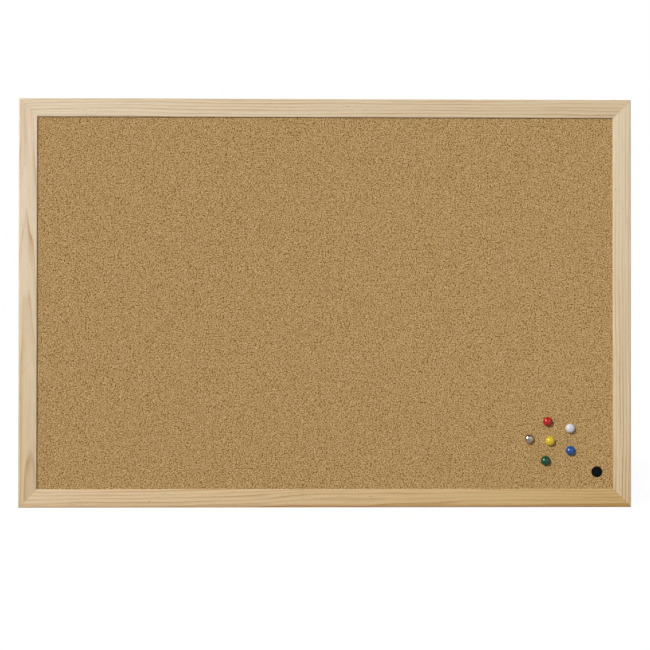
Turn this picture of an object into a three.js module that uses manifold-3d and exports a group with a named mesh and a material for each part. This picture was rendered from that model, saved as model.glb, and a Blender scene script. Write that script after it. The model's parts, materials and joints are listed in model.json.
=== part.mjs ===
// Framed cork pin board: four mitred pine rails round a cork-faced panel, with six drawing pins.
// Millimetres, +Z up. The front faces -Y, and +X is to the right seen from the front.
// The origin is the middle of the top rail's back face, which lies against the wall.

import * as THREE from "three";
import { mergeVertices } from "three/addons/utils/BufferGeometryUtils.js";
import Module from "manifold-3d";

// Outer size of the frame
const boardWidth = 600;
const boardHeight = 400;

// Rail section: a solid web on the outside, and a groove that takes the edge of the panel
const webWidth = 12;
const grooveDepth = 6;
const frontLip = 1.4;
const backLip = 2.4;
const outerRound = 1.2;
const innerRound = 0.9;
const backRound = 0.8;
const mitreGap = 0.12;

// Panel: cork glued to a soft fibreboard core, with a hardboard sheet behind
const corkThickness = 2;
const coreThickness = 7;
const backingThickness = 0.8;
const panelFacePlay = 0.15;
const panelEdgePlay = 0.8;

// V-nails: bent steel strips driven across each mitre from the back
const nailLeg = 5.5;
const nailSheet = 0.5;
const nailHeight = 8;
const nailBend = 0.9;
const nailHook = 0.9;
const nailInset = 3.4;
const nailSunk = 0.3;
const nailPlay = 0.25;

// Hanger: a steel strip folded round the bar of a wire ring and screwed to the back of a stile
const hangerDrop = 60;
const hangerEdge = 1.2;
const strapWidth = 9;
const strapSheet = 0.8;
const strapLeafGap = 0.1;
const strapTail = 10.5;
const eyeFall = 3;
const ringWire = 1.8;
const ringPlay = 0.25;
const ringBend = 1.6;
const ringSidePlay = 0.5;
const ringSeatGap = 0.3;
const ringButt = 0.6;

// Hanger screw: a pan head on a tapered wood screw
const screwFromEnd = 3.9;
const screwShank = 2.6;
const screwHead = 5.6;
const screwHeadHeight = 1.8;
const screwHeadEdge = 0.7;
const screwLength = 12;
const screwPoint = 4;
const screwPlay = 0.3;

// Drawing pin: a domed cap crimped over the edge of a disc that carries the point
const capDiameter = 9.3;
const capCrown = 3.5;
const capSheet = 0.35;
const capLip = 0.6;
const capRimRound = 0.3;
const discSheet = 0.35;
const discPlay = 0.2;
const pinShank = 1.1;
const pinLength = 8;
const pinTip = 2.5;
const pinSeatGap = 0.1;
const pinHolePlay = 0.25;

// Each pin's place on the cork, measured in from the frame's right and bottom edges
const pins = [
  { name: "red", fromRight: 82.1, fromBottom: 83.9, colour: 0xaa2f23, roughness: 0.2, metalness: 0 },
  { name: "white", fromRight: 60, fromBottom: 77.2, colour: 0xdad6d1, roughness: 0.2, metalness: 0 },
  { name: "nickel", fromRight: 100.4, fromBottom: 67.1, colour: 0xc4beb4, roughness: 0.15, metalness: 1 },
  { name: "yellow", fromRight: 79.7, fromBottom: 64.8, colour: 0xcfb43c, roughness: 0.2, metalness: 0 },
  { name: "blue", fromRight: 59.7, fromBottom: 55.3, colour: 0x32588c, roughness: 0.2, metalness: 0 },
  { name: "green", fromRight: 84.2, fromBottom: 45.5, colour: 0x235238, roughness: 0.2, metalness: 0 },
];

// Round label stuck to the cork, blank
const labelDiameter = 10.8;
const labelThickness = 0.3;
const labelFromRight = 33.7;
const labelFromBottom = 34.5;

// How finely curves are faceted
const sectionArcSteps = 6;
const nailArcSteps = 4;
const eyeArcSteps = 12;
const domeSteps = 8;
const domeInsideSteps = 4;
const capSides = 28;
const pinSides = 16;
const screwSides = 20;
const wireSides = 8;
const ringSteps = 56;
const labelSides = 36;
const cutterOverrun = 1;

// Sizes that follow from those above
const railFace = webWidth + grooveDepth;
const panelThickness = corkThickness + coreThickness + backingThickness;
const railDepth = frontLip + panelThickness + 2 * panelFacePlay + backLip;
const frameTop = railFace / 2;
const frameBottom = frameTop - boardHeight;
const frameCentre = (frameTop + frameBottom) / 2;
const panelWidth = boardWidth - 2 * (webWidth + panelEdgePlay);
const panelHeight = boardHeight - 2 * (webWidth + panelEdgePlay);
const corkFront = -railDepth + frontLip + panelFacePlay;
const eyeBore = ringWire / 2 + ringPlay;
const eyeOuter = eyeBore + strapSheet;
const strapDouble = 2 * strapSheet + strapLeafGap;
const ringHalfWidth = strapWidth / 2 + ringSidePlay + ringBend;
const ringArcCentre = strapTail - strapWidth / 2;
const ringRise = ringArcCentre + ringHalfWidth;
const ringLean = Math.asin((eyeOuter - ringWire / 2 - ringSeatGap) / ringRise);
const hangerInset = hangerEdge + ringHalfWidth + ringWire / 2;
const screwDrop = strapTail - screwFromEnd;
const capRadius = capDiameter / 2;
const discFront = capSheet + discPlay + discSheet;
const capRim = discFront + discPlay;

const xAxis = new THREE.Vector3(1, 0, 0);
const yAxis = new THREE.Vector3(0, 1, 0);
const zAxis = new THREE.Vector3(0, 0, 1);
const quarterTurn = Math.PI / 2;

const wasm = await Module();
wasm.setup();

function material(colour, roughness, metalness) {
  return new THREE.MeshStandardMaterial({ color: colour, roughness, metalness });
}

function piece(name, geometry, look) {
  const mesh = new THREE.Mesh(geometry, look);
  mesh.name = name;
  return mesh;
}

// Only positions are kept, with shared vertices merged, so that each geometry is a closed body
function closed(geometry) {
  geometry.deleteAttribute("normal");
  geometry.deleteAttribute("uv");
  return mergeVertices(geometry);
}

function toSolid(geometry) {
  const merged = closed(geometry.clone());
  const vertProperties = new Float32Array(merged.attributes.position.array);
  const triVerts = new Uint32Array(merged.index.array);
  return new wasm.Manifold(new wasm.Mesh({ numProp: 3, vertProperties, triVerts }));
}

function fromSolid(solid) {
  const mesh = solid.getMesh();
  const geometry = new THREE.BufferGeometry();
  geometry.setAttribute("position", new THREE.BufferAttribute(new Float32Array(mesh.vertProperties), 3));
  geometry.setIndex(new THREE.BufferAttribute(new Uint32Array(mesh.triVerts), 1));
  return geometry;
}

function cut(geometry, cutters) {
  const start = toSolid(geometry);
  return fromSolid(cutters.reduce((solid, cutter) => solid.subtract(toSolid(cutter)), start));
}

function common(first, second) {
  return fromSolid(toSolid(first).intersect(toSolid(second)));
}

// Extrusion with the outline's own x and y laid along two given axes, and its depth along their cross product
function extrude(shape, depth, across, up, arcSteps) {
  const along = new THREE.Vector3().crossVectors(across, up);
  const geometry = new THREE.ExtrudeGeometry(shape, {
    depth,
    bevelEnabled: false,
    curveSegments: arcSteps,
  });
  return closed(geometry.applyMatrix4(new THREE.Matrix4().makeBasis(across, up, along)));
}

// Revolved body about the Y axis, from points of radius and y that start and end on the axis
function revolve(points, sides) {
  return closed(new THREE.LatheGeometry(points.map(([r, y]) => new THREE.Vector2(r, y)), sides));
}

// Plain round cutter along Y, from one depth to another
function drill(radius, fromY, toY, sides) {
  const length = toY - fromY;
  return new THREE.CylinderGeometry(radius, radius, length, sides).translate(0, fromY + length / 2, 0);
}

// Outline of a strip of even thickness along a centreline, run on past both ends by an overrun
function stripOutline(centreline, thickness, overrun, arcSteps) {
  const points = centreline.getPoints(arcSteps);
  const first = points[1].clone().sub(points[0]).normalize();
  const last = points.at(-1).clone().sub(points.at(-2)).normalize();
  points[0] = points[0].clone().addScaledVector(first, -overrun);
  points[points.length - 1] = points.at(-1).clone().addScaledVector(last, overrun);
  const sides = [1, -1].map((side) => points.map((point, i) => {
    const before = point.clone().sub(points[Math.max(i - 1, 0)]).normalize();
    const after = points[Math.min(i + 1, points.length - 1)].clone().sub(point).normalize();
    const tangent = before.add(after).normalize();
    const offset = new THREE.Vector2(-tangent.y, tangent.x);
    return point.clone().addScaledVector(offset, side * thickness / 2);
  }));
  return new THREE.Shape([...sides[0], ...sides[1].reverse()]);
}

// V-nail at a corner whose legs run along +X and -Z, from its back edge at y = 0 towards the front
function nailBody(sheet, overrun, height) {
  const centreline = new THREE.Path();
  centreline.moveTo(nailLeg, -nailHook);
  centreline.quadraticCurveTo(nailLeg, 0, nailLeg - nailHook, 0);
  centreline.lineTo(nailBend, 0);
  centreline.quadraticCurveTo(0, 0, 0, -nailBend);
  centreline.lineTo(0, -(nailLeg - nailHook));
  centreline.quadraticCurveTo(0, -nailLeg, nailHook, -nailLeg);
  const outline = stripOutline(centreline, sheet, overrun, nailArcSteps);
  return extrude(outline, height, xAxis, zAxis, nailArcSteps);
}

const nailPlaces = { outer: nailInset, inner: webWidth - nailInset };

// Rail section: x is the distance in from the outer edge, y the depth from the back face
function railSection() {
  const front = -railDepth;
  const inside = Math.min(innerRound, frontLip);
  const shape = new THREE.Shape();
  shape.moveTo(0, -backRound);
  shape.lineTo(0, front + outerRound);
  shape.quadraticCurveTo(0, front, outerRound, front);
  shape.lineTo(railFace - inside, front);
  shape.quadraticCurveTo(railFace, front, railFace, front + inside);
  shape.lineTo(railFace, front + frontLip);
  shape.lineTo(webWidth, front + frontLip);
  shape.lineTo(webWidth, -backLip);
  shape.lineTo(railFace, -backLip);
  shape.lineTo(railFace, -backRound);
  shape.quadraticCurveTo(railFace, 0, railFace - backRound, 0);
  shape.lineTo(backRound, 0);
  shape.quadraticCurveTo(0, 0, 0, -backRound);
  return shape;
}

// Rail along X with its outer edge at z = 0, its back at y = 0 and its ends mitred.
// Slots take the V-nails at both ends, and a stile has a pilot hole for its hanger screw.
function rail(length, pilotAlong = null) {
  const bar = extrude(railSection(), length, zAxis.clone().negate(), yAxis, sectionArcSteps);
  bar.translate(-length / 2, 0, 0);
  const corners = bar.attributes.position;
  for (let i = 0; i < corners.count; i += 1) {
    const inset = -corners.getZ(i);
    const half = length / 2 - inset - mitreGap / Math.SQRT2;
    corners.setX(i, Math.sign(corners.getX(i)) * half);
  }
  const cutters = [];
  for (const inset of Object.values(nailPlaces)) {
    const depth = nailSunk + nailHeight + nailPlay + cutterOverrun;
    for (const end of [0, 1]) {
      const slot = nailBody(nailSheet + 2 * nailPlay, nailPlay, depth);
      slot.rotateY(end * quarterTurn);
      slot.translate((end ? 1 : -1) * (length / 2 - inset), cutterOverrun, -inset);
      cutters.push(slot);
    }
  }
  if (pilotAlong !== null) {
    const deep = screwLength - strapDouble + screwPlay;
    const pilot = drill(screwShank / 2 + screwPlay, -deep, cutterOverrun, screwSides);
    cutters.push(pilot.translate(pilotAlong, 0, -hangerInset));
  }
  return cut(bar, cutters);
}

// Strap: a strip laid double on the stile, with its fold rolled into an eye round the ring's bar.
// In the side view x is the distance behind the stile, y the height above the eye's centre.
function strapBody() {
  const strip = new THREE.Path();
  const backLeaf = strapDouble - strapSheet / 2;
  const eyeMiddle = eyeOuter - strapSheet / 2;
  strip.moveTo(strapSheet / 2, -strapTail);
  strip.lineTo(strapSheet / 2, 0);
  strip.absarc(eyeOuter, 0, eyeMiddle, Math.PI, 0, true);
  strip.bezierCurveTo(eyeOuter + eyeMiddle, -eyeFall / 2, backLeaf, -eyeFall / 2, backLeaf, -eyeFall);
  strip.lineTo(backLeaf, -strapTail);
  const side = stripOutline(strip, strapSheet, 0, eyeArcSteps);
  const folded = extrude(side, strapWidth, yAxis, zAxis, eyeArcSteps).translate(-strapWidth / 2, 0, 0);

  const plan = new THREE.Shape();
  plan.moveTo(-strapWidth / 2, eyeOuter + cutterOverrun);
  plan.lineTo(-strapWidth / 2, -ringArcCentre);
  plan.absarc(0, -ringArcCentre, strapWidth / 2, Math.PI, 2 * Math.PI, false);
  plan.lineTo(strapWidth / 2, eyeOuter + cutterOverrun);
  const behind = 2 * eyeOuter + cutterOverrun;
  const rounded = extrude(plan, behind + cutterOverrun, xAxis, zAxis, eyeArcSteps).translate(0, behind, 0);
  const screwHole = drill(screwShank / 2 + screwPlay, -cutterOverrun, behind, screwSides);
  return cut(common(folded, rounded), [screwHole.translate(0, 0, -screwDrop)]);
}

// A flat outline laid in the XZ plane as a curve for the ring's wire
class FlatCurve extends THREE.Curve {
  constructor(path) {
    super();
    this.path = path;
  }

  getPoint(t, target = new THREE.Vector3()) {
    const point = this.path.getPointAt(t);
    return target.set(point.x, 0, point.y);
  }
}

// D-shaped ring standing on its bar along X, with the wire's ends butted at the middle of the bar
function ringBody() {
  const path = new THREE.Path();
  path.moveTo(ringButt / 2, 0);
  path.lineTo(ringHalfWidth - ringBend, 0);
  path.absarc(ringHalfWidth - ringBend, ringBend, ringBend, -quarterTurn, 0, false);
  path.lineTo(ringHalfWidth, ringArcCentre);
  path.absarc(0, ringArcCentre, ringHalfWidth, 0, Math.PI, false);
  path.lineTo(-ringHalfWidth, ringBend);
  path.absarc(-(ringHalfWidth - ringBend), ringBend, ringBend, Math.PI, 3 * quarterTurn, false);
  path.lineTo(-ringButt / 2, 0);
  const section = new THREE.Shape();
  section.absarc(0, 0, ringWire / 2, 0, 2 * Math.PI, false);
  const geometry = new THREE.ExtrudeGeometry(new THREE.Shape(section.getSpacedPoints(wireSides)), {
    steps: ringSteps,
    extrudePath: new FlatCurve(path),
    bevelEnabled: false,
  });
  return closed(geometry);
}

// Screw along Y, with the underside of its head at y = 0 and its point towards the front
function screwBody() {
  const head = new THREE.Path();
  head.moveTo(screwHead / 2, screwHeadEdge);
  head.bezierCurveTo(
    screwHead / 2, (screwHeadEdge + screwHeadHeight) / 2,
    screwHead / 4, screwHeadHeight,
    0, screwHeadHeight,
  );
  const crown = head.getPoints(domeSteps).map((point) => [point.x, point.y]);
  return revolve([
    [0, -screwLength],
    [screwShank / 2, -(screwLength - screwPoint)],
    [screwShank / 2, 0],
    [screwHead / 2, 0],
    ...crown.slice(0, -1),
    [0, screwHeadHeight],
  ], screwSides);
}

// Points of radius and height along a quarter ellipse, from its widest point up to the axis
function quarterDome(radius, base, rise, steps) {
  const points = [];
  for (let i = 0; i < steps; i += 1) {
    const turn = (i / steps) * quarterTurn;
    points.push([radius * Math.cos(turn), base + rise * Math.sin(turn)]);
  }
  return [...points, [0, base + rise]];
}

// Cap of a pin, hollow, with its rim turned in under the disc. Heights are taken out from the rim.
function capBody() {
  const outside = quarterDome(capRadius, capRim, capCrown, domeSteps).reverse();
  const inside = quarterDome(capRadius - capSheet, capRim, capCrown - capSheet, domeInsideSteps);
  const profile = [
    ...outside,
    [capRadius, capRimRound],
    [capRadius - capRimRound, 0],
    [capRadius - capSheet - capLip, 0],
    [capRadius - capSheet - capLip, capSheet],
    [capRadius - capSheet, capSheet],
    ...inside,
  ];
  return revolve(profile.map(([r, height]) => [r, -height]), capSides);
}

// Disc and point of a pin, from the same rim as its cap
function spikeBody() {
  const discRadius = capRadius - capSheet - discPlay;
  return revolve([
    [0, -discFront],
    [discRadius, -discFront],
    [discRadius, -(discFront - discSheet)],
    [pinShank / 2, -(discFront - discSheet)],
    [pinShank / 2, pinLength - pinTip],
    [0, pinLength],
  ], pinSides);
}

const pine = material(0xd5bf9d, 0.6, 0);
const cork = material(0xaa8a5b, 0.9, 0);
const fibreboard = material(0xb3976d, 0.9, 0);
const hardboard = material(0x7a5534, 0.7, 0);
const zincSteel = material(0xc3c6c8, 0.35, 1);
const brightSteel = material(0xb9bbbd, 0.25, 1);
const labelBlack = material(0x181917, 0.5, 0);

const board = new THREE.Group();
board.name = "pin_board";

// Frame: the same rail turned a quarter each time, with its hanger pilot hole where it is a stile
const frame = new THREE.Group();
frame.position.z = frameCentre;
board.add(frame);
const hangerHeight = boardHeight / 2 - hangerDrop;
const pilotHeight = hangerHeight - screwDrop;
const rails = [
  { name: "top_rail", corner: "top_left", length: boardWidth, out: boardHeight / 2, pilot: null },
  { name: "right_stile", corner: "top_right", length: boardHeight, out: boardWidth / 2, pilot: -pilotHeight },
  { name: "bottom_rail", corner: "bottom_right", length: boardWidth, out: boardHeight / 2, pilot: null },
  { name: "left_stile", corner: "bottom_left", length: boardHeight, out: boardWidth / 2, pilot: pilotHeight },
];
rails.forEach((side, turn) => {
  const quarter = new THREE.Group();
  quarter.rotation.y = turn * quarterTurn;
  frame.add(quarter);
  const arm = new THREE.Group();
  arm.position.z = side.out;
  quarter.add(arm);
  arm.add(piece(side.name, rail(side.length, side.pilot), pine.clone()));
  for (const [place, inset] of Object.entries(nailPlaces)) {
    const name = `v_nail_${side.corner}_${place}`;
    const nail = piece(name, nailBody(nailSheet, 0, nailHeight), zincSteel.clone());
    nail.position.set(-side.length / 2 + inset, -nailSunk, -inset);
    arm.add(nail);
  }
});

// Panel, its layers stacked from the cork's face towards the wall
function pinPlace(pin) {
  return { x: boardWidth / 2 - pin.fromRight, z: pin.fromBottom - boardHeight / 2 };
}

const panel = new THREE.Group();
panel.position.set(0, corkFront, frameCentre);
board.add(panel);
const layers = [
  { name: "cork_sheet", thickness: corkThickness, look: cork },
  { name: "core_board", thickness: coreThickness, look: fibreboard },
  { name: "backing_sheet", thickness: backingThickness, look: hardboard },
];
const pinHoleDepth = pinLength + pinHolePlay - pinSeatGap;
let layerFront = 0;
for (const layer of layers) {
  const sheet = new THREE.BoxGeometry(panelWidth, layer.thickness, panelHeight);
  sheet.translate(0, layerFront + layer.thickness / 2, 0);
  const holes = pins.map((pin) => {
    const { x, z } = pinPlace(pin);
    return drill(pinShank / 2 + pinHolePlay, -cutterOverrun, pinHoleDepth, pinSides).translate(x, 0, z);
  });
  panel.add(piece(layer.name, cut(sheet, holes), layer.look));
  layerFront += layer.thickness;
}

const label = new THREE.CylinderGeometry(labelDiameter / 2, labelDiameter / 2, labelThickness, labelSides);
const corkLabel = piece("cork_label", closed(label), labelBlack);
corkLabel.position.set(
  boardWidth / 2 - labelFromRight,
  -labelThickness / 2,
  labelFromBottom - boardHeight / 2,
);
panel.add(corkLabel);

// Pins, each seated on the cork
for (const pin of pins) {
  const group = new THREE.Group();
  const { x, z } = pinPlace(pin);
  group.position.set(x, -pinSeatGap, z);
  panel.add(group);
  group.add(piece(`pin_cap_${pin.name}`, capBody(), material(pin.colour, pin.roughness, pin.metalness)));
  group.add(piece(`pin_spike_${pin.name}`, spikeBody(), brightSteel.clone()));
}

// Hangers on the backs of the two stiles, with each ring standing up and leaning on its stile
for (const [name, side] of [["left", -1], ["right", 1]]) {
  const hanger = new THREE.Group();
  hanger.position.set(side * (boardWidth / 2 - hangerInset), 0, frameCentre + hangerHeight);
  board.add(hanger);
  hanger.add(piece(`hanger_strap_${name}`, strapBody(), zincSteel.clone()));
  const ring = piece(`hanger_ring_${name}`, ringBody(), zincSteel.clone());
  ring.position.y = eyeOuter;
  ring.rotation.x = ringLean;
  hanger.add(ring);
  const screw = piece(`hanger_screw_${name}`, screwBody(), zincSteel.clone());
  screw.position.set(0, strapDouble, -screwDrop);
  hanger.add(screw);
}

export default board;
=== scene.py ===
import json
from math import cos, pi, radians, sin

import bmesh
import bpy
from mathutils import Matrix, Vector


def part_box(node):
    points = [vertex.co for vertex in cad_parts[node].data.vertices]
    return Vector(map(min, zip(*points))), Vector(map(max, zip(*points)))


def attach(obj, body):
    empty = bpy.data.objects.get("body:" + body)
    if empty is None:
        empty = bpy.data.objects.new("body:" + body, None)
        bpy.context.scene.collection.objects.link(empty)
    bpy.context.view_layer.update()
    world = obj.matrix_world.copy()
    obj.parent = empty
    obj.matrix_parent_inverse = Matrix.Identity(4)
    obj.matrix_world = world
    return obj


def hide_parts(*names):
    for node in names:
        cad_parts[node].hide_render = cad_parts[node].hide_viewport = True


# A framed cork pin board with six drawing pins, in metres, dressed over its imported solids.
# The front faces -Y, +Z is up, and the origin is the middle of the top rail's back face.
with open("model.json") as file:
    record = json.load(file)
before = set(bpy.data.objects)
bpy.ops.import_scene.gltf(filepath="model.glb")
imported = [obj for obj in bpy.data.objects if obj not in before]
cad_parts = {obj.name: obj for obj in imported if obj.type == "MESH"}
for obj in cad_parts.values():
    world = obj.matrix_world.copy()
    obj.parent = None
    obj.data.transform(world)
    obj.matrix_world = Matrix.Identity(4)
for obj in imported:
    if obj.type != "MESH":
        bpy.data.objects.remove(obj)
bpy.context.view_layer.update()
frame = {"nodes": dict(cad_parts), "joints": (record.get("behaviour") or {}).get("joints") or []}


# The frame: four lengths of planed pine with eased edges, grooved inside to hold the panel.
# Their ends are mitred at 45 degrees and meet with a hairline joint. Each length came from
# another part of the log, so its growth rings run their own way and it has its own tone. Part of
# that tone is painted light falloff: the rails are lighter towards the board's top left corner and
# darker towards its bottom right, along each length and from rail to rail.

MM = 0.001
WELD = 0.001 * MM
RAIL_RUN = {"X": (-300 * MM, 300 * MM), "Z": (-391 * MM, 9 * MM)}

# Patterns in the wood, in repeats per metre: along the grain, then both ways across it.
RING_DRIFT = (3, 22, 22)
RING_FADE = (7, 190, 190)
FIBRES = (45, 1900, 1900)
RESIN_FLECKS = (210, 1500, 1500)

# How far the rings drift, and how much slower their small waves run along the grain than across.
DRIFT_REACH = 14 * MM
ALONG_GRAIN = (0.05, 1, 1)

# The colour darkens towards amber between two heights near the bottom rail's lower edge.
LOWER_BAND_STARTS = -386 * MM
LOWER_BAND_FULL = -389.2 * MM
LOWER_BAND_FRAY = 1.5 * MM


def linear(red, green, blue):
    """A paint-card colour, 0 to 255, in the linear values that a shader takes."""
    parts = [value / 255 for value in (red, green, blue)]
    return [p / 12.92 if p <= 0.04045 else ((p + 0.055) / 1.055) ** 2.4 for p in parts] + [1]


def finished(shape, name, corner=35):
    """The object made from a bmesh, shaded round, with edges past the corner angle kept crisp."""
    for face in shape.faces:
        face.smooth = True
    for edge in shape.edges:
        edge.smooth = len(edge.link_faces) == 2 and edge.calc_face_angle() < radians(corner)
    mesh = bpy.data.meshes.new(name)
    shape.to_mesh(mesh)
    shape.free()
    made = bpy.data.objects.new(name, mesh)
    bpy.context.scene.collection.objects.link(made)
    return made


def eased_copy(solid, name):
    """A copy of a solid with its loose triangles joined into clean faces."""
    shape = bmesh.new()
    shape.from_mesh(frame["nodes"][solid].data)
    bmesh.ops.remove_doubles(shape, verts=shape.verts, dist=WELD)
    bmesh.ops.dissolve_limit(shape, angle_limit=radians(1), verts=shape.verts, edges=shape.edges)
    return finished(shape, name)


def add(tree, kind, **settings):
    """A new node with its settings."""
    made = tree.nodes.new(kind)
    for name, value in settings.items():
        setattr(made, name, value)
    return made


def feed(tree, value, socket):
    """Links an output to a socket, or sets the socket where the value is plain."""
    if isinstance(value, bpy.types.NodeSocket):
        tree.links.new(value, socket)
    else:
        socket.default_value = value


def mixed(tree, factor, first, second, mode="MIX"):
    """Two colours mixed by a factor."""
    mix = add(tree, "ShaderNodeMix", data_type="RGBA", blend_type=mode)
    feed(tree, factor, mix.inputs[0])
    feed(tree, first, mix.inputs[6])
    feed(tree, second, mix.inputs[7])
    return mix.outputs[2]


def sums(tree, operation, first, second):
    """Two values put together by a math operation."""
    step = add(tree, "ShaderNodeMath", operation=operation)
    feed(tree, first, step.inputs[0])
    feed(tree, second, step.inputs[1])
    return step.outputs[0]


def ramp(tree, factor, *stops):
    """A colour ramp through stops of a position and a grey level or a colour."""
    made = add(tree, "ShaderNodeValToRGB")
    elements = made.color_ramp.elements
    while len(elements) < len(stops):
        elements.new(0.5)
    for element, (position, colour) in zip(elements, stops):
        element.position = position
        element.color = colour if isinstance(colour, list) else [colour, colour, colour, 1]
    feed(tree, factor, made.inputs[0])
    return made.outputs[0]


def placed(tree, source, scale=(1, 1, 1), turn=(0, 0, 0), shift=(0, 0, 0)):
    """A place that is scaled, then turned, then shifted."""
    made = add(tree, "ShaderNodeMapping")
    feed(tree, source, made.inputs["Vector"])
    made.inputs["Location"].default_value = shift
    made.inputs["Rotation"].default_value = turn
    made.inputs["Scale"].default_value = scale
    return made.outputs[0]


def speckle(tree, place, scale=1, detail=2, roughness=0.5):
    """Cloudy noise, from 0 to 1."""
    made = add(tree, "ShaderNodeTexNoise")
    feed(tree, place, made.inputs["Vector"])
    made.inputs["Scale"].default_value = scale
    made.inputs["Detail"].default_value = detail
    made.inputs["Roughness"].default_value = roughness
    return made.outputs["Fac"]


def strayed(tree, place, noise, reach):
    """A place that noise moves by up to a reach along each axis."""
    made = add(tree, "ShaderNodeVectorMath", operation="MULTIPLY_ADD")
    feed(tree, noise.outputs["Color"], made.inputs[0])
    made.inputs[1].default_value = reach
    feed(tree, place, made.inputs[2])
    return made.outputs[0]


def relief(tree, shader, height, strength, depth):
    """Bump of a real depth on a shader."""
    bump = add(tree, "ShaderNodeBump")
    bump.inputs["Strength"].default_value = strength
    bump.inputs["Distance"].default_value = depth
    feed(tree, height, bump.inputs["Height"])
    feed(tree, bump.outputs[0], shader.inputs["Normal"])


def finish_start(name):
    """A new material, with its node tree, its shader and the place on the piece."""
    made = bpy.data.materials.new(name)
    made.use_nodes = True
    tree = made.node_tree
    shader = tree.nodes["Principled BSDF"]
    place = add(tree, "ShaderNodeTexCoord").outputs["Object"]
    return made, tree, shader, place


def group_start(name, inputs, outputs):
    """A node group with named sockets, and its two ends."""
    tree = bpy.data.node_groups.new(name, "ShaderNodeTree")
    for socket, kind in inputs.items():
        tree.interface.new_socket(socket, in_out="INPUT", socket_type=kind)
    for socket, kind in outputs.items():
        tree.interface.new_socket(socket, in_out="OUTPUT", socket_type=kind)
    return tree, add(tree, "NodeGroupInput").outputs, add(tree, "NodeGroupOutput").inputs


# Growth rings lie round a pith that runs along X, with slow waves along the length.
# The wave texture draws 10 / pi rings for each unit of its scale.
grain, given, result = group_start(
    "pine grain",
    {"Place": "NodeSocketVector", "Rings per Metre": "NodeSocketFloat",
     "Waviness": "NodeSocketFloat"},
    {"Late Wood": "NodeSocketFloat", "Fibre": "NodeSocketFloat", "Fleck": "NodeSocketFloat",
     "Height": "NodeSocketFloat"},
)
drift = add(grain, "ShaderNodeTexNoise")
feed(grain, placed(grain, given["Place"], scale=RING_DRIFT), drift.inputs["Vector"])
drift.inputs["Scale"].default_value = 1
drift.inputs["Detail"].default_value = 3
bend = strayed(grain, given["Place"], drift, (0, DRIFT_REACH, DRIFT_REACH))
rings = add(grain, "ShaderNodeTexWave", wave_type="RINGS", rings_direction="X", wave_profile="SAW")
feed(grain, placed(grain, bend, scale=ALONG_GRAIN), rings.inputs["Vector"])
feed(grain, sums(grain, "MULTIPLY", given["Rings per Metre"], pi / 10), rings.inputs["Scale"])
feed(grain, given["Waviness"], rings.inputs["Distortion"])
rings.inputs["Detail"].default_value = 2
rings.inputs["Detail Scale"].default_value = 0.7
late = ramp(
    grain, rings.outputs["Fac"], (0, 0.1), (0.35, 0.1), (0.75, 0.55), (0.92, 1), (1, 0.15))
fade = speckle(grain, placed(grain, given["Place"], scale=RING_FADE))
late = sums(grain, "MULTIPLY", late, ramp(grain, fade, (0.35, 0.3), (0.65, 1)))
fibre = speckle(grain, placed(grain, given["Place"], scale=FIBRES), detail=3, roughness=0.6)
dash = speckle(grain, placed(grain, given["Place"], scale=RESIN_FLECKS), detail=1)
fleck = ramp(grain, dash, (0.69, 0), (0.79, 1))
ridge = sums(grain, "ADD", sums(grain, "MULTIPLY", late, 0.2), fibre)
feed(grain, late, result["Late Wood"])
feed(grain, fibre, result["Fibre"])
feed(grain, fleck, result["Fleck"])
feed(grain, sums(grain, "SUBTRACT", ridge, fleck), result["Height"])


def pine(name, low_end_colour_and_light, high_end_colour_and_light, along, turn, pith, ring_width, waviness,
         low_contrast, high_contrast, lower_band=0):
    """Bare planed pine. Its tone and the strength of its rings change along the length.

    Given a lower band strength, the colour darkens towards amber near the lower edge, more at the
    high end.
    """
    made, tree, shader, place = finish_start(name)
    wood = add(tree, "ShaderNodeGroup", node_tree=grain)
    feed(tree, placed(tree, place, turn=turn, shift=pith), wood.inputs["Place"])
    wood.inputs["Rings per Metre"].default_value = 1 / ring_width
    wood.inputs["Waviness"].default_value = waviness
    axes = add(tree, "ShaderNodeSeparateXYZ")
    feed(tree, place, axes.inputs[0])
    length = add(tree, "ShaderNodeMapRange")
    feed(tree, axes.outputs[along], length.inputs["Value"])
    low, high = RAIL_RUN[along]
    length.inputs["From Min"].default_value = low
    length.inputs["From Max"].default_value = high
    # Painted light falloff in part: the tone runs from one end's colour to the other's, lighter
    # towards the board's top left, darker towards its bottom right, on top of the wood's own tone.
    tone = mixed(tree, length.outputs[0], low_end_colour_and_light, high_end_colour_and_light)
    rise = sums(tree, "MULTIPLY", length.outputs[0], high_contrast - low_contrast)
    dark = sums(tree, "MULTIPLY", wood.outputs["Late Wood"], sums(tree, "ADD", rise, low_contrast))
    tone = mixed(tree, dark, tone, linear(208, 180, 146), "MULTIPLY")
    thread = ramp(tree, wood.outputs["Fibre"], (0.25, 0.82), (0.75, 1))
    tone = mixed(tree, 1.0, tone, thread, "MULTIPLY")
    # A band along the lower edge darkens towards amber, more so towards the high end of the length.
    if lower_band:
        streak = add(tree, "ShaderNodeMapRange")
        fray = sums(tree, "MULTIPLY", wood.outputs["Fibre"], LOWER_BAND_FRAY)
        feed(tree, sums(tree, "ADD", axes.outputs["Z"], fray), streak.inputs["Value"])
        streak.inputs["From Min"].default_value = LOWER_BAND_STARTS
        streak.inputs["From Max"].default_value = LOWER_BAND_FULL
        rise = sums(tree, "ADD", sums(tree, "MULTIPLY", length.outputs[0], lower_band / 2), lower_band / 2)
        amber = sums(tree, "MULTIPLY", streak.outputs[0], rise)
        tone = mixed(tree, amber, tone, linear(222, 196, 162), "MULTIPLY")
    spots = sums(tree, "MULTIPLY", wood.outputs["Fleck"], 0.6)
    tone = mixed(tree, spots, tone, linear(190, 150, 110), "MULTIPLY")
    feed(tree, tone, shader.inputs["Base Color"])
    sheen = ramp(tree, wood.outputs["Fibre"], (0.2, 0.5), (0.8, 0.66))
    feed(tree, sheen, shader.inputs["Roughness"])
    relief(tree, shader, wood.outputs["Height"], strength=0.35, depth=0.12 * MM)
    return made


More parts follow.
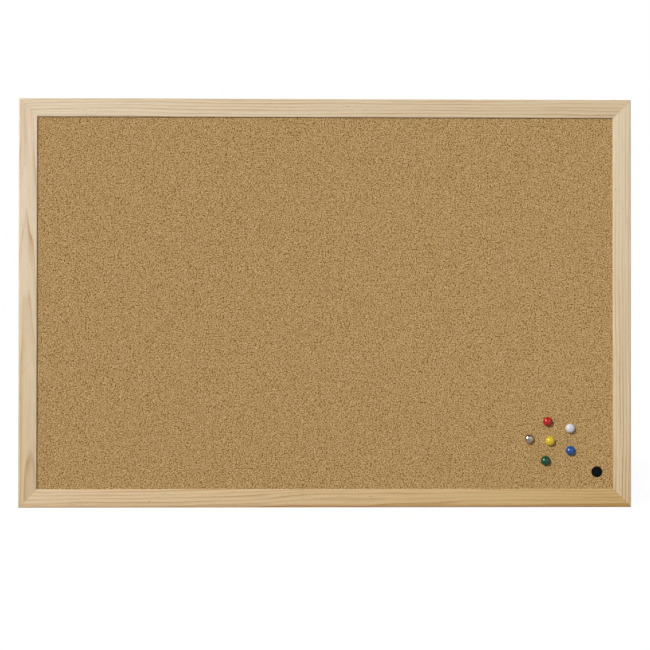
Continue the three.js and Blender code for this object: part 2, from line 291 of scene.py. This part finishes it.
rails = {
    "top_rail": pine(
        "pine top", linear(232, 213, 184), linear(215, 194, 159), along="X",
        turn=(0, radians(0.7), radians(1)), pith=(0.2, 0.045, 0.06), ring_width=2.9 * MM,
        waviness=4, low_contrast=0.75, high_contrast=0.95),
    "right_stile": pine(
        "pine right", linear(218, 196, 160), linear(228, 211, 181), along="Z",
        turn=(0, radians(90), radians(0.3)), pith=(0.6, 0.02, 0.22), ring_width=3.3 * MM,
        waviness=4, low_contrast=1.2, high_contrast=0.45),
    "bottom_rail": pine(
        "pine bottom", linear(230, 206, 169), linear(203, 172, 115), along="X",
        turn=(0, radians(0.4), radians(-0.5)), pith=(1.1, 0.07, 0.41), ring_width=2.1 * MM,
        waviness=4, low_contrast=0.95, high_contrast=0.85, lower_band=0.9),
    "left_stile": pine(
        "pine left", linear(215, 192, 155), linear(236, 217, 190), along="Z",
        turn=(0, radians(90.8), radians(1.2)), pith=(1.7, 0.03, -0.3), ring_width=3.1 * MM,
        waviness=5, low_contrast=0.8, high_contrast=1.1),
}
for solid, finish in rails.items():
    rail = eased_copy(solid, solid + "_timber")
    rail.data.materials.append(finish)
    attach(rail, "board")
    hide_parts(solid)


# The cork sheet: granules of ground cork, about 1.3 mm across, pressed with resin into a sheet
# and sanded flat. Each granule is flecked with finer grains, paler in the middle and darker where
# it meets the next, and bits of bark lie among them. The sheet is glued to the core.

GRANULES_PER_METRE = 760
GRAINS_PER_METRE = 2000
BARK_PER_METRE = 1150
PORES_PER_METRE = 7000
STIR_PER_METRE = 1500
GRAIN_STRAY = 0.5 * MM

# How far each pattern moves the tone, and the level that brings the mean to the middle.
GRAIN_SHARE = 0.46
GRANULE_SHARE = 0.08
EDGE_SHARE = 0.9
MEAN_LEVEL = 0.608


def cells(tree, place, per_metre, **kind):
    """The outputs of a pattern of cells, so many to the metre."""
    made = add(tree, "ShaderNodeTexVoronoi", **kind)
    feed(tree, place, made.inputs["Vector"])
    made.inputs["Scale"].default_value = per_metre
    return made.outputs


def chances(tree, pattern):
    """Three chance values for each cell of a pattern."""
    made = add(tree, "ShaderNodeSeparateColor")
    feed(tree, pattern["Color"], made.inputs[0])
    return made.outputs


cork, tree, shader, place = finish_start("pressed cork")
stir = add(tree, "ShaderNodeTexNoise")
feed(tree, place, stir.inputs["Vector"])
stir.inputs["Scale"].default_value = STIR_PER_METRE
ragged = strayed(tree, place, stir, (GRAIN_STRAY, GRAIN_STRAY, GRAIN_STRAY))
sheet_face = placed(tree, ragged, turn=(-pi / 2, 0, 0))
granules = cells(tree, sheet_face, GRANULES_PER_METRE, feature="F1", voronoi_dimensions="2D")
grains = cells(tree, ragged, GRAINS_PER_METRE, feature="F1")
seams = cells(tree, ragged, GRAINS_PER_METRE, feature="DISTANCE_TO_EDGE")
bark = cells(tree, ragged, BARK_PER_METRE, feature="F1")
grain_chance = chances(tree, grains)
own = sums(
    tree, "ADD", sums(tree, "MULTIPLY", grain_chance[0], GRAIN_SHARE),
    sums(tree, "MULTIPLY", chances(tree, granules)[0], GRANULE_SHARE))
darkened = sums(tree, "MULTIPLY", granules["Distance"], EDGE_SHARE)
level = sums(tree, "ADD", sums(tree, "SUBTRACT", own, darkened), MEAN_LEVEL)
tone = ramp(
    tree, level,
    (0.12, linear(123, 88, 27)), (0.24, linear(139, 105, 43)), (0.3, linear(173, 138, 82)),
    (0.66, linear(188, 154, 101)), (0.72, linear(219, 185, 138)), (0.9, linear(229, 196, 153)),
)
bits = ramp(tree, chances(tree, bark)[1], (0.9, 0), (0.93, 0.3))
tone = mixed(tree, bits, tone, linear(118, 84, 40))
pits = ramp(tree, seams["Distance"], (0, 0.72), (0.16, 1))
tone = mixed(tree, 1.0, tone, pits, "MULTIPLY")
pores = speckle(tree, place, scale=PORES_PER_METRE, roughness=0.6)
tone = mixed(tree, 1.0, tone, ramp(tree, pores, (0.3, 0.88), (0.7, 1)), "MULTIPLY")
feed(tree, tone, shader.inputs["Base Color"])
feed(tree, ramp(tree, pores, (0.2, 0.78), (0.8, 0.95)), shader.inputs["Roughness"])
shader.inputs["Specular IOR Level"].default_value = 0.15
rise = sums(tree, "ADD", sums(tree, "MULTIPLY", pits, 1.5), sums(tree, "MULTIPLY", pores, 0.5))
relief(tree, shader, sums(tree, "ADD", rise, grain_chance[1]), strength=0.3, depth=0.12 * MM)
frame["nodes"]["cork_sheet"].material_slots[0].material = cork


# The core and the backing: soft fibreboard that grips the pin points, and behind it a thin sheet
# of hardboard. Both are felted wood fibre pressed flat. The hardboard is denser and browner
# and has a low sheen.

# Strands lie four ways in the sheet, in radians, and are five times as long as they are wide.
STRAND_TURNS = (0.3, 1.1, 1.9, 2.7)
STRAND_STRETCH = (1, 5, 5)

fibres, given, result = group_start(
    "felted fibre",
    {"Place": "NodeSocketVector", "Fibre Scale": "NodeSocketFloat"},
    {"Fibre": "NodeSocketFloat", "Clump": "NodeSocketFloat"},
)
size = add(fibres, "ShaderNodeVectorMath", operation="SCALE")
feed(fibres, given["Place"], size.inputs[0])
feed(fibres, given["Fibre Scale"], size.inputs["Scale"])
felt = 0
for lie in STRAND_TURNS:
    turned = placed(fibres, size.outputs[0], turn=(0, lie, 0))
    drawn = placed(fibres, turned, scale=STRAND_STRETCH)
    felt = sums(fibres, "MAXIMUM", felt, speckle(fibres, drawn, detail=3, roughness=0.65))
feed(fibres, felt, result["Fibre"])
feed(fibres, speckle(fibres, size.outputs[0], scale=0.2), result["Clump"])


def fibre_board(name, pale, dark, scale):
    """Pressed fibre, with its node tree, its shader and its fibres for the finish to go on from."""
    made, tree, shader, place = finish_start(name)
    felt = add(tree, "ShaderNodeGroup", node_tree=fibres)
    feed(tree, place, felt.inputs["Place"])
    felt.inputs["Fibre Scale"].default_value = scale
    tone = ramp(tree, felt.outputs["Fibre"], (0.46, dark), (0.76, pale))
    clumps = ramp(tree, felt.outputs["Clump"], (0.3, 0.82), (0.7, 1))
    feed(tree, mixed(tree, 1.0, tone, clumps, "MULTIPLY"), shader.inputs["Base Color"])
    return made, tree, shader, felt.outputs["Fibre"]


core, tree, shader, felt = fibre_board(
    "soft fibreboard", linear(196, 168, 124), linear(150, 122, 84), scale=300)
shader.inputs["Roughness"].default_value = 0.92
relief(tree, shader, felt, strength=0.6, depth=0.15 * MM)
frame["nodes"]["core_board"].material_slots[0].material = core

hardboard, tree, shader, felt = fibre_board(
    "hardboard", linear(150, 108, 68), linear(104, 70, 41), scale=420)
feed(tree, ramp(tree, felt, (0.4, 0.72), (0.75, 0.55)), shader.inputs["Roughness"])
relief(tree, shader, felt, strength=0.5, depth=0.08 * MM)
frame["nodes"]["backing_sheet"].material_slots[0].material = hardboard


# The V-nails: strips of zinc-plated steel bent to a V with hooked ends, two to each mitre.
# They are driven in from the back, across the joint, to just below the wood.

RUB_MARKS = (900, 900, 5200)

zinc, tree, shader, place = finish_start("zinc plate")
cloud = speckle(tree, place, scale=420, detail=3, roughness=0.6)
rub = speckle(tree, placed(tree, place, scale=RUB_MARKS))
tone = ramp(tree, cloud, (0.3, linear(186, 190, 194)), (0.7, linear(212, 214, 214)))
feed(tree, tone, shader.inputs["Base Color"])
shader.inputs["Metallic"].default_value = 1
wear = sums(tree, "ADD", sums(tree, "MULTIPLY", cloud, 0.5), sums(tree, "MULTIPLY", rub, 0.5))
feed(tree, ramp(tree, wear, (0.3, 0.26), (0.7, 0.48)), shader.inputs["Roughness"])
relief(tree, shader, wear, strength=0.25, depth=0.02 * MM)

for corner in ("top_left", "top_right", "bottom_right", "bottom_left"):
    for depth in ("outer", "inner"):
        solid = f"v_nail_{corner}_{depth}"
        nail = eased_copy(solid, solid + "_strip")
        nail.data.materials.append(zinc)
        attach(nail, "board")
        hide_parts(solid)


# The hangers: on the back of each stile a zinc-plated strip, folded double round the bar of
# a D-shaped wire ring and held by one pan-head screw. The ring's wire is bent round until
# its ends meet inside the eye, and it leans on the wood when it is up.

WIRE_RADIUS = 0.9 * MM
WIRE_SIDES = 20
BEND_RADIUS = 1.6 * MM
BEND_STEPS = 10
BOW_STEPS = 40
HALF_WIDTH = 6.6 * MM
BOW_CENTRE = 6 * MM
HALF_BUTT = 0.3 * MM
LEAN = radians(3.41)

# The screw's outline in millimetres of radius and height, from its point up to its crown.
SCREW_SHANK = [(0, -12), (1.3, -8), (1.3, 0)]
SCREW_HEAD = [(2.55, 0), (2.8, 0.15), (2.8, 0.7), (2.7, 1.05), (2.45, 1.35), (2.0, 1.6),
              (1.3, 1.75), (0, 1.8)]
HEAD_HEIGHT = 1.8 * MM
SCREW_TURN = radians(27)
TURNED_SIDES = 48
SLOT_SIZE = (3.2 * MM, 0.62 * MM, 2.4 * MM)
SLOT_TAPER = (0.35, 0.7, 1)
SLOT_HEIGHT = 1.85 * MM


def end_face(geometry):
    """The faces among an operator's results."""
    return [item for item in geometry if isinstance(item, bmesh.types.BMFace)]


def end_corners(geometry):
    """The corners among an operator's results."""
    return [item for item in geometry if isinstance(item, bmesh.types.BMVert)]


def pushed(shape, face, way):
    """The wire run straight on from its end face."""
    made = bmesh.ops.extrude_face_region(shape, geom=face)["geom"]
    bmesh.ops.translate(shape, verts=end_corners(made), vec=way)
    return end_face(made)


def bent(shape, face, centre, angle, steps):
    """The wire run on round a bend in the plane of the ring."""
    turn = bmesh.ops.spin(
        shape, geom=face, cent=centre, axis=(0, -1, 0), angle=angle, steps=steps,
        use_duplicate=False)
    return end_face(turn["geom_last"])


def wire_ring(name, eye):
    """The D-shaped ring, standing in its eye."""
    shape = bmesh.new()
    to_bar = Matrix.Translation((HALF_BUTT, 0, 0)) @ Matrix.Rotation(pi / 2, 4, "Y")
    bmesh.ops.create_circle(
        shape, cap_ends=True, segments=WIRE_SIDES, radius=WIRE_RADIUS, matrix=to_bar)
    straight = HALF_WIDTH - BEND_RADIUS
    leg = BOW_CENTRE - BEND_RADIUS
    end = pushed(shape, list(shape.faces), (straight - HALF_BUTT, 0, 0))
    end = bent(shape, end, (straight, 0, BEND_RADIUS), pi / 2, BEND_STEPS)
    end = pushed(shape, end, (0, 0, leg))
    end = bent(shape, end, (0, 0, BOW_CENTRE), pi, BOW_STEPS)
    end = pushed(shape, end, (0, 0, -leg))
    end = bent(shape, end, (-straight, 0, BEND_RADIUS), pi / 2, BEND_STEPS)
    pushed(shape, end, (straight - HALF_BUTT, 0, 0))
    bmesh.ops.recalc_face_normals(shape, faces=shape.faces)
    seat = Matrix.Translation(eye) @ Matrix.Rotation(LEAN, 4, "X")
    bmesh.ops.transform(shape, matrix=seat, verts=shape.verts)
    return finished(shape, name)


def spun(profile):
    """A turned shape about Z, from a few points of radius and height in millimetres."""
    shape = bmesh.new()
    points = [shape.verts.new((radius * MM, 0, height * MM)) for radius, height in profile]
    line = [shape.edges.new(pair) for pair in zip(points, points[1:])]
    bmesh.ops.spin(
        shape, geom=points + line, cent=(0, 0, 0), axis=(0, 0, 1), angle=2 * pi,
        steps=TURNED_SIDES, use_merge=True)
    bmesh.ops.remove_doubles(shape, verts=shape.verts, dist=WELD)
    bmesh.ops.recalc_face_normals(shape, faces=shape.faces)
    return shape


def cross_slot(name):
    """The tapered cross that the driver's point fits, standing on Z."""
    shape = bmesh.new()
    for turn in (0, pi / 2):
        made = bmesh.ops.create_cube(shape, size=1)["verts"]
        bmesh.ops.scale(shape, vec=SLOT_SIZE, verts=made)
        low = [corner for corner in made if corner.co.z < 0]
        bmesh.ops.scale(shape, vec=SLOT_TAPER, verts=low)
        bmesh.ops.rotate(shape, cent=(0, 0, 0), matrix=Matrix.Rotation(turn, 3, "Z"), verts=made)
    bmesh.ops.translate(shape, vec=(0, 0, SLOT_HEIGHT), verts=shape.verts)
    return finished(shape, name)


def pan_screw(name, seat):
    """The screw with its cross cut, driven in towards the front."""
    screw = finished(spun(SCREW_SHANK + SCREW_HEAD), name)
    cutter = cross_slot(name + "_cutter")
    recess = screw.modifiers.new("recess", "BOOLEAN")
    recess.operation = "DIFFERENCE"
    recess.solver = "EXACT"
    recess.use_self = True
    recess.object = cutter
    cut = screw.evaluated_get(bpy.context.evaluated_depsgraph_get())
    shape = bmesh.new()
    shape.from_mesh(bpy.data.meshes.new_from_object(cut))
    bpy.data.objects.remove(cutter)
    bpy.data.objects.remove(screw)
    turned = Matrix.Rotation(-pi / 2, 4, "X") @ Matrix.Rotation(SCREW_TURN, 4, "Z")
    bmesh.ops.transform(shape, matrix=Matrix.Translation(seat) @ turned, verts=shape.verts)
    return finished(shape, name, corner=30)


hinges = {joint["name"]: joint for joint in frame["joints"]}
for side in ("left", "right"):
    strap = eased_copy(f"hanger_strap_{side}", f"folded_strap_{side}")
    ring = wire_ring(f"bent_ring_{side}", hinges[f"{side}_ring_swing"]["pos_m"])
    low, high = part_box(f"hanger_screw_{side}")
    seat = Vector(((low.x + high.x) / 2, high.y - HEAD_HEIGHT, (low.z + high.z) / 2))
    screw = pan_screw(f"pan_screw_{side}", seat)
    for piece, solid, body in (
        (strap, f"hanger_strap_{side}", "board"),
        (ring, f"hanger_ring_{side}", f"{side}_ring"),
        (screw, f"hanger_screw_{side}", "board"),
    ):
        piece.data.materials.append(zinc)
        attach(piece, body)
        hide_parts(solid)


# The label: a plain round black sticker on the cork beside the pins. It is punched from satin
# plastic film, which leaves its edge a little soft, and the glue on its back holds it.

LABEL_RADIUS = 5.4 * MM
LABEL_FILM = 0.3 * MM
LABEL_EDGE = 0.12 * MM
LABEL_SIDES = 96

label_black, tree, shader, place = finish_start("black film")
film = speckle(tree, place, scale=2600)
tone = ramp(tree, film, (0.3, linear(4, 4, 5)), (0.7, linear(9, 9, 9)))
feed(tree, tone, shader.inputs["Base Color"])
feed(tree, ramp(tree, film, (0.3, 0.38), (0.7, 0.5)), shader.inputs["Roughness"])
shader.inputs["Specular IOR Level"].default_value = 0.12
relief(tree, shader, film, strength=0.2, depth=0.02 * MM)


def on_cork(solid):
    """The place on the cork that a solid stands on, with Z turned out towards the front."""
    low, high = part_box(solid)
    spot = Vector(((low.x + high.x) / 2, high.y, (low.z + high.z) / 2))
    return Matrix.Translation(spot) @ Matrix.Rotation(pi / 2, 4, "X")


shape = bmesh.new()
bmesh.ops.create_circle(shape, cap_ends=True, segments=LABEL_SIDES, radius=LABEL_RADIUS)
top = bmesh.ops.extrude_face_region(shape, geom=list(shape.faces))["geom"]
bmesh.ops.translate(shape, vec=(0, 0, LABEL_FILM), verts=end_corners(top))
upper = [edge for edge in shape.edges if min(v.co.z for v in edge.verts) > LABEL_FILM / 2]
bmesh.ops.bevel(
    shape, geom=upper, offset=LABEL_EDGE, offset_type="OFFSET", affect="EDGES", segments=3,
    profile=0.5, material=-1)
bmesh.ops.recalc_face_normals(shape, faces=shape.faces)
bmesh.ops.transform(shape, matrix=on_cork("cork_label"), verts=shape.verts)
label = finished(shape, "black_label")
label.data.materials.append(label_black)
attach(label, "board")
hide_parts("cork_label")


# The drawing pins: a domed cap pressed from thin steel, crimped over a disc with a hardened point.
# Five caps are dipped in gloss lacquer and one is nickel plated. Each is pushed in by hand
# until its rim touches the cork.

CAP_RADIUS = 4.65 * MM
CAP_CROWN = 3.5 * MM
CAP_RIM = 1.1 * MM
CAP_SHEET = 0.35 * MM
CAP_LIP = 0.95 * MM
CAP_TURN = 0.3 * MM
CAP_SIDES = 64
CAP_RINGS = 32

# The disc and point in millimetres of radius and height, from the disc's front down to the tip.
DISC_AND_POINT = [(0, 0.9), (4, 0.9), (4.1, 0.8), (4.1, 0.65), (4, 0.55), (0.7, 0.55),
                  (0.55, 0.4), (0.55, -5.5), (0.25, -7.3), (0, -8)]

handling, given, result = group_start(
    "handling marks",
    {"Place": "NodeSocketVector"},
    {"Smear": "NodeSocketFloat", "Ripple": "NodeSocketFloat"},
)
smears = speckle(handling, given["Place"], scale=520, detail=3, roughness=0.6)
feed(handling, smears, result["Smear"])
feed(handling, speckle(handling, given["Place"], scale=900, detail=1), result["Ripple"])


def gloss_lacquer(name, colour):
    """Dipped lacquer, with finger smears and a slight ripple."""
    made, tree, shader, place = finish_start(name)
    marks = add(tree, "ShaderNodeGroup", node_tree=handling)
    feed(tree, place, marks.inputs["Place"])
    smear = marks.outputs["Smear"]
    depth = ramp(tree, smear, (0.3, 0.9), (0.7, 1))
    feed(tree, mixed(tree, 1.0, colour, depth, "MULTIPLY"), shader.inputs["Base Color"])
    feed(tree, ramp(tree, smear, (0.3, 0.08), (0.75, 0.15)), shader.inputs["Roughness"])
    shader.inputs["Coat Weight"].default_value = 0.5
    shader.inputs["Coat Roughness"].default_value = 0.08
    relief(tree, shader, marks.outputs["Ripple"], strength=0.15, depth=0.03 * MM)
    return made


def bright_plate(name, pale, dark, smooth, rough):
    """Bright metal, duller where it was handled."""
    made, tree, shader, place = finish_start(name)
    marks = add(tree, "ShaderNodeGroup", node_tree=handling)
    feed(tree, place, marks.inputs["Place"])
    smear = marks.outputs["Smear"]
    feed(tree, ramp(tree, smear, (0.3, dark), (0.7, pale)), shader.inputs["Base Color"])
    shader.inputs["Metallic"].default_value = 1
    feed(tree, ramp(tree, smear, (0.3, smooth), (0.75, rough)), shader.inputs["Roughness"])
    relief(tree, shader, marks.outputs["Ripple"], strength=0.1, depth=0.02 * MM)
    return made


def domed_cap(name, seat):
    """The hollow cap, with its rim turned in under the disc."""
    shape = bmesh.new()
    bmesh.ops.create_uvsphere(
        shape, u_segments=CAP_SIDES, v_segments=CAP_RINGS, radius=CAP_RADIUS)
    bmesh.ops.scale(shape, vec=(1, 1, CAP_CROWN / CAP_RADIUS), verts=shape.verts)
    whole = list(shape.verts) + list(shape.edges) + list(shape.faces)
    bmesh.ops.bisect_plane(
        shape, geom=whole, plane_co=(0, 0, 0), plane_no=(0, 0, 1), clear_inner=True)
    bmesh.ops.translate(shape, vec=(0, 0, CAP_RIM), verts=shape.verts)
    edge = [e for e in shape.edges if e.is_boundary]
    for drop, spread in ((CAP_RIM, 1), (0, 1 - CAP_LIP / CAP_RADIUS)):
        made = bmesh.ops.extrude_edge_only(shape, edges=edge)["geom"]
        corners = end_corners(made)
        bmesh.ops.translate(shape, vec=(0, 0, -drop), verts=corners)
        bmesh.ops.scale(shape, vec=(spread, spread, 1), verts=corners)
        edge = [e for e in made if isinstance(e, bmesh.types.BMEdge)]
    turn = [
        e for e in shape.edges
        if all(v.co.z < CAP_RIM / 2 and v.co.xy.length > CAP_RADIUS - CAP_LIP / 2 for v in e.verts)
    ]
    bmesh.ops.bevel(
        shape, geom=turn, offset=CAP_TURN, offset_type="OFFSET", affect="EDGES", segments=4,
        profile=0.5, material=-1)
    bmesh.ops.recalc_face_normals(shape, faces=shape.faces)
    bmesh.ops.solidify(shape, geom=list(shape.faces), thickness=CAP_SHEET)
    bmesh.ops.transform(shape, matrix=seat, verts=shape.verts)
    return finished(shape, name)


def point_and_disc(name, seat):
    """The disc with its point, turned as one."""
    shape = spun(DISC_AND_POINT)
    bmesh.ops.transform(shape, matrix=seat, verts=shape.verts)
    return finished(shape, name)


point_steel = bright_plate(
    "bright steel", linear(206, 206, 204), linear(178, 179, 180), smooth=0.16, rough=0.3)
nickel = bright_plate(
    "nickel plate", linear(220, 211, 199), linear(196, 186, 174), smooth=0.06, rough=0.14)
caps = {
    "red": (gloss_lacquer("red lacquer", linear(174, 23, 10)), "red_lacquer"),
    "white": (gloss_lacquer("white lacquer", linear(206, 205, 208)), "white_lacquer"),
    "nickel": (nickel, "nickel_plate"),
    "yellow": (gloss_lacquer("yellow lacquer", linear(210, 181, 36)), "yellow_lacquer"),
    "blue": (gloss_lacquer("blue lacquer", linear(16, 76, 144)), "blue_lacquer"),
    "green": (gloss_lacquer("green lacquer", linear(3, 70, 44)), "green_lacquer"),
}
for colour, (finish, slot) in caps.items():
    seat = on_cork(f"pin_cap_{colour}")
    cap = domed_cap(f"domed_cap_{colour}", seat)
    cap.data.materials.append(finish)
    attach(cap, f"{colour}_pin")
    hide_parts(f"pin_cap_{colour}")
    spike = point_and_disc(f"point_and_disc_{colour}", seat)
    spike.data.materials.append(point_steel)
    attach(spike, f"{colour}_pin")
    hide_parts(f"pin_spike_{colour}")


# The studio: a pale floor under the board's lower edge, one soft lamp high on the left in front,
# a weaker one behind for the back of the board, and an even white surround.

WHITE = [1, 1, 1, 1]
FLOOR_REACH = 30
FLOOR_HEIGHT = -391.2 * MM
FLOOR_GLOW = 1.27
GLOW_SHARE = 0.72
SOFTBOX_STRENGTH = 11
BOARD_MIDDLE = -191 * MM
VIEW_DISTANCE = 1590.9 * MM
VIEW_TURN = radians(-1.015)
VIEW_TILT = radians(-0.54)
VIEW_ROLL = radians(0.05)

scene = bpy.context.scene
scene.view_settings.view_transform = "Standard"

shape = bmesh.new()
bmesh.ops.create_grid(shape, x_segments=1, y_segments=1, size=FLOOR_REACH)
bmesh.ops.translate(shape, vec=(0, 0, FLOOR_HEIGHT), verts=shape.verts)
floor = finished(shape, "floor")
floor_paint, tree, shader, place = finish_start("floor paint")
patch = speckle(tree, place, scale=3)
feed(tree, ramp(tree, patch, (0.3, 0.41), (0.7, 0.43)), shader.inputs["Base Color"])
shader.inputs["Roughness"].default_value = 0.9
shader.inputs["Specular IOR Level"].default_value = 0.1

# The floor shows near white to the camera, and behind the board also in shiny pieces. The paint
# that shows through keeps the shadow.
seen = add(tree, "ShaderNodeLightPath").outputs
axes = add(tree, "ShaderNodeSeparateXYZ")
feed(tree, place, axes.inputs[0])
behind = ramp(tree, axes.outputs["Y"], (0, 0), (0.3, 1))
mirrored = sums(tree, "MULTIPLY", seen["Is Glossy Ray"], behind)
backdrop = sums(tree, "MAXIMUM", seen["Is Camera Ray"], mirrored)
backdrop = sums(tree, "MAXIMUM", backdrop, seen["Is Transmission Ray"])
glow = add(tree, "ShaderNodeEmission")
glow.inputs["Color"].default_value = WHITE
glow.inputs["Strength"].default_value = FLOOR_GLOW
blend = add(tree, "ShaderNodeMixShader")
feed(tree, sums(tree, "MULTIPLY", backdrop, GLOW_SHARE), blend.inputs[0])
feed(tree, shader.outputs[0], blend.inputs[1])
feed(tree, glow.outputs[0], blend.inputs[2])
feed(tree, blend.outputs[0], tree.nodes["Material Output"].inputs["Surface"])
floor.data.materials.append(floor_paint)

world = bpy.data.worlds.new("studio")
scene.world = world
world.use_nodes = True
tree = world.node_tree
ray = add(tree, "ShaderNodeTexCoord").outputs["Generated"]
seen = add(tree, "ShaderNodeLightPath").outputs
axes = add(tree, "ShaderNodeSeparateXYZ")
feed(tree, ray, axes.inputs[0])


def towards(way, *stops):
    """A brightness that falls off around one direction of the room."""
    facing = add(tree, "ShaderNodeVectorMath", operation="DOT_PRODUCT")
    feed(tree, ray, facing.inputs[0])
    facing.inputs[1].default_value = Vector(way).normalized()
    return ramp(tree, facing.outputs["Value"], *stops)


# In front, shiny pieces mirror a pale card on the right and the softbox of the key lamp.
card = towards((0.5, -0.85, 0.15), (0.15, 0.05), (0.7, 0.15), (0.85, 0.33), (0.95, 0.85))
softbox = towards((-0.629, -0.687, 0.363), (0.96, 0), (0.975, 1))
lit = sums(tree, "ADD", card, sums(tree, "MULTIPLY", softbox, SOFTBOX_STRENGTH))
room = mixed(tree, ramp(tree, axes.outputs["Y"], (0, 0), (0.15, 1)), lit, WHITE)
fill = mixed(tree, seen["Is Glossy Ray"], linear(126, 127, 128), room)
backdrop = sums(tree, "MAXIMUM", seen["Is Camera Ray"], seen["Is Transmission Ray"])
feed(tree, mixed(tree, backdrop, fill, WHITE), tree.nodes["Background"].inputs["Color"])


def sun(name, travel, strength, spread):
    """A lamp far away, with the way its light travels and its width in degrees."""
    lamp = bpy.data.lights.new(name, "SUN")
    lamp.energy = strength
    lamp.angle = radians(spread)
    made = bpy.data.objects.new(name, lamp)
    made.rotation_euler = Vector(travel).to_track_quat("-Z", "Y").to_euler()
    made.visible_glossy = False
    scene.collection.objects.link(made)


sun("key lamp", travel=(0.491, 0.707, -0.509), strength=3.2, spread=10)
sun("back lamp", travel=(-0.35, -0.8, -0.45), strength=2, spread=20)

centre = Vector((0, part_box("top_rail")[0].y, BOARD_MIDDLE))
outward = Vector((
    sin(VIEW_TURN) * cos(VIEW_TILT), -cos(VIEW_TURN) * cos(VIEW_TILT), sin(VIEW_TILT)))
camera = bpy.data.objects.new("camera", bpy.data.cameras.new("camera"))
camera.data.lens = 90
camera.data.sensor_width = 36
camera.data.shift_x = -0.00125
camera.data.shift_y = -0.03394
camera.location = centre + VIEW_DISTANCE * outward
aim = (-outward).to_track_quat("-Z", "Y").to_matrix()
camera.rotation_euler = (aim @ Matrix.Rotation(VIEW_ROLL, 3, "Z")).to_euler()
scene.collection.objects.link(camera)
scene.camera = camera
